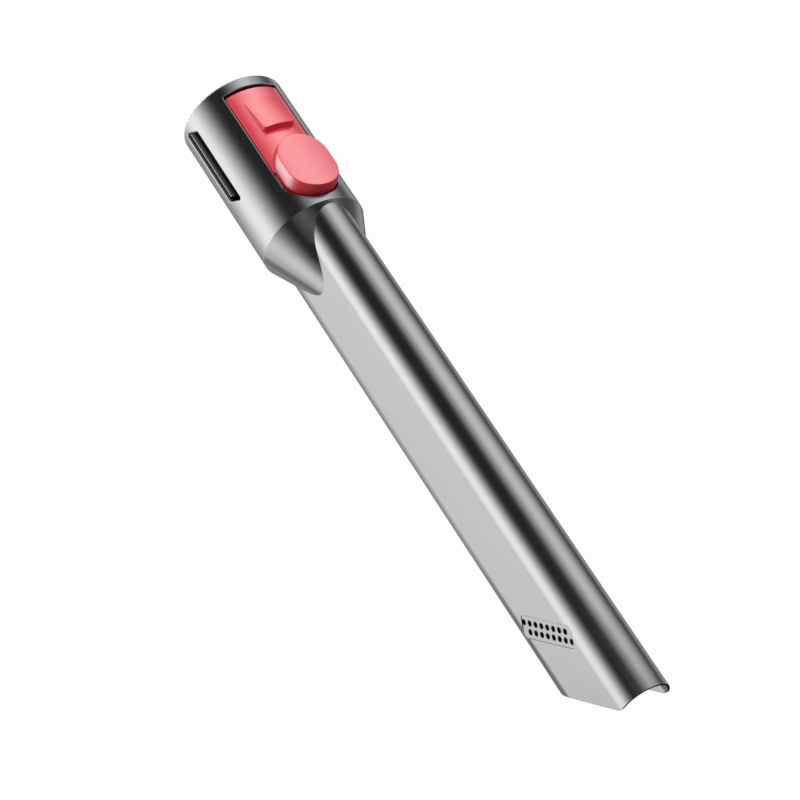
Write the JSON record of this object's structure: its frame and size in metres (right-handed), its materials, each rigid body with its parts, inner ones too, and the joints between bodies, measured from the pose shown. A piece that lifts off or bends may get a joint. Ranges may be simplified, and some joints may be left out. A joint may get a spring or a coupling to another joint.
{
  "type": "vacuum crevice tool",
  "caption": "Flat vacuum crevice nozzle with a slanted mouth and bleed holes, on a round quick-release collar with a sprung rocking button.",
  "frame": {"origin": "centre of the socket's open rim, on the collar's axis", "axes": "+X along the tool from the socket to the mouth, +Y towards the release button, +Z out of one flat side, which faces up when the tool lies down"},
  "size_m": [0.3015, 0.0483, 0.044],
  "materials": {
    "grey_shell": "satin metallic grey",
    "black_liner": "fine matt",
    "red_button": "semi-gloss",
    "steel": "bright drawn wire"
  },
  "bodies": {
    "tool": {"nozzle_body": "grey_shell", "socket_liner": "black_liner", "pivot_pin": "steel", "button_spring": "steel"},
    "button": {"release_button": "red_button"}
  },
  "joints": [
    {"name": "button_press", "type": "hinge", "parent": "tool", "child": "button", "pos_m": [0.0372, 0.0152, 0], "axis": [0, 0, -1], "range_deg": [0, 4], "stiffness_Nm_per_rad": 0.5, "springref_deg": -5.73, "deforming": ["button_spring"]}
  ]
}
